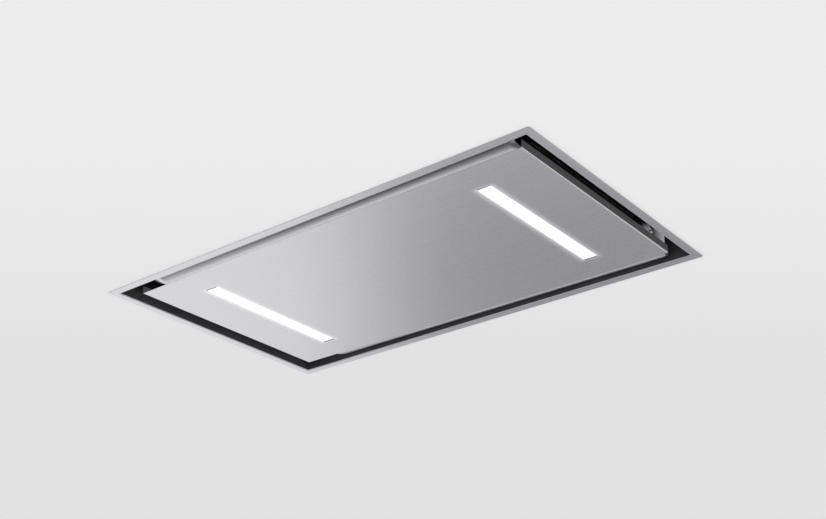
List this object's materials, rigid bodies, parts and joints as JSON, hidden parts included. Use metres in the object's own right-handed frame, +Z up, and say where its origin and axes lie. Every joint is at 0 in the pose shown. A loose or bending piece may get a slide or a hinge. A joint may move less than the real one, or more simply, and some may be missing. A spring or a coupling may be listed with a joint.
{
  "type": "ceiling range hood",
  "caption": "Flush ceiling cooker hood: slim stainless trim, hinged flat suction panel with an air gap all round and light strips, filters, blower, top box with round duct outlet.",
  "frame": {"origin": "centre of the opening in the ceiling, in the plane of the ceiling's underside, where the trim's upper face lies", "axes": "+Z up into the space above the ceiling; +X along the hood's length; -Y the front side, where the suction panel's catches are, +Y the side of the panel's hinges and of the duct outlet"},
  "size_m": [0.9, 0.5, 0.2631],
  "materials": {
    "stainless": "fine brushed stainless steel",
    "galvanised": "dull zinc-coated sheet steel",
    "black_paint": "matte black paint",
    "filter_aluminium": "satin",
    "zinc_plate": "zinc-plated",
    "dark_plastic": "moulded, matte",
    "grey_plastic": "moulded, matte",
    "opal": "opal, lit from behind",
    "circuit_board": "solder mask",
    "motor_paint": "dark stove enamel",
    "white_can": "pale coated can"
  },
  "bodies": {
    "body": {"trim_frame": "stainless", "recess_skirt": "black_paint", "filter_deck": "black_paint", "chassis_shell": "galvanised", "chassis_end_left": "galvanised", "chassis_end_right": "galvanised", "hanger_front_left": "galvanised", "hanger_front_right": "galvanised", "hanger_rear_left": "galvanised", "hanger_rear_right": "galvanised", "filter_frame_left": "filter_aluminium", "filter_frame_right": "filter_aluminium", "filter_mesh_left": "filter_aluminium", "filter_mesh_right": "filter_aluminium", "hinge_bracket_left": "zinc_plate", "hinge_bracket_right": "zinc_plate", "hinge_pin_left": "zinc_plate", "hinge_pin_right": "zinc_plate", "catch_left": "dark_plastic", "catch_right": "dark_plastic", "inlet_ring": "galvanised", "scroll_housing": "galvanised", "scroll_cover": "galvanised", "motor": "motor_paint", "motor_bracket": "zinc_plate", "duct_transition": "galvanised", "capacitor": "white_can", "motor_box": "galvanised", "motor_box_lid": "galvanised", "duct_collar": "dark_plastic", "flap_pin": "zinc_plate", "control_box": "grey_plastic", "control_board": "circuit_board", "control_lid": "grey_plastic", "cable_gland": "dark_plastic", "lamp_driver": "grey_plastic"},
    "panel": {"panel_face": "stainless", "panel_tray": "galvanised", "air_lip_front": "stainless", "air_lip_rear": "stainless", "lamp_housing_left": "dark_plastic", "lamp_housing_right": "dark_plastic", "led_board_left": "circuit_board", "led_board_right": "circuit_board", "diffuser_left": "opal", "diffuser_right": "opal", "hinge_arm_left": "zinc_plate", "hinge_arm_right": "zinc_plate", "striker_left": "zinc_plate", "striker_right": "zinc_plate"},
    "wheel": {"impeller": "galvanised", "impeller_plate": "galvanised", "impeller_shroud": "galvanised", "motor_shaft": "zinc_plate"},
    "left_flap": {"flap_left": "dark_plastic"},
    "right_flap": {"flap_right": "dark_plastic"},
    "left_latch": {"filter_latch_left": "grey_plastic"},
    "right_latch": {"filter_latch_right": "grey_plastic"}
  },
  "joints": [
    {"name": "panel_hinge", "type": "hinge", "parent": "body", "child": "panel", "pos_m": [0, 0.2005, 0.0132], "axis": [1, 0, 0], "range_deg": [0, 88]},
    {"name": "wheel_spin", "type": "hinge", "parent": "body", "child": "wheel", "pos_m": [-0.0249, 0, 0.15], "axis": [0, 0, 1], "continuous": true},
    {"name": "left_flap_hinge", "type": "hinge", "parent": "body", "child": "left_flap", "pos_m": [0.0831, 0.1816, 0.174], "axis": [0, 0, -1], "range_deg": [0, 75], "stiffness_Nm_per_rad": 0.02, "springref_deg": -5.73},
    {"name": "right_flap_hinge", "type": "hinge", "parent": "body", "child": "right_flap", "pos_m": [0.0831, 0.1816, 0.174], "axis": [0, 0, 1], "range_deg": [0, 75], "stiffness_Nm_per_rad": 0.02, "springref_deg": -5.73},
    {"name": "left_latch_slide", "type": "slide", "parent": "body", "child": "left_latch", "axis": [0, 1, 0], "range_m": [0, 0.007], "stiffness_N_per_m": 200, "springref_m": -0.003},
    {"name": "right_latch_slide", "type": "slide", "parent": "body", "child": "right_latch", "axis": [0, 1, 0], "range_m": [0, 0.007], "stiffness_N_per_m": 200, "springref_m": -0.003}
  ]
}
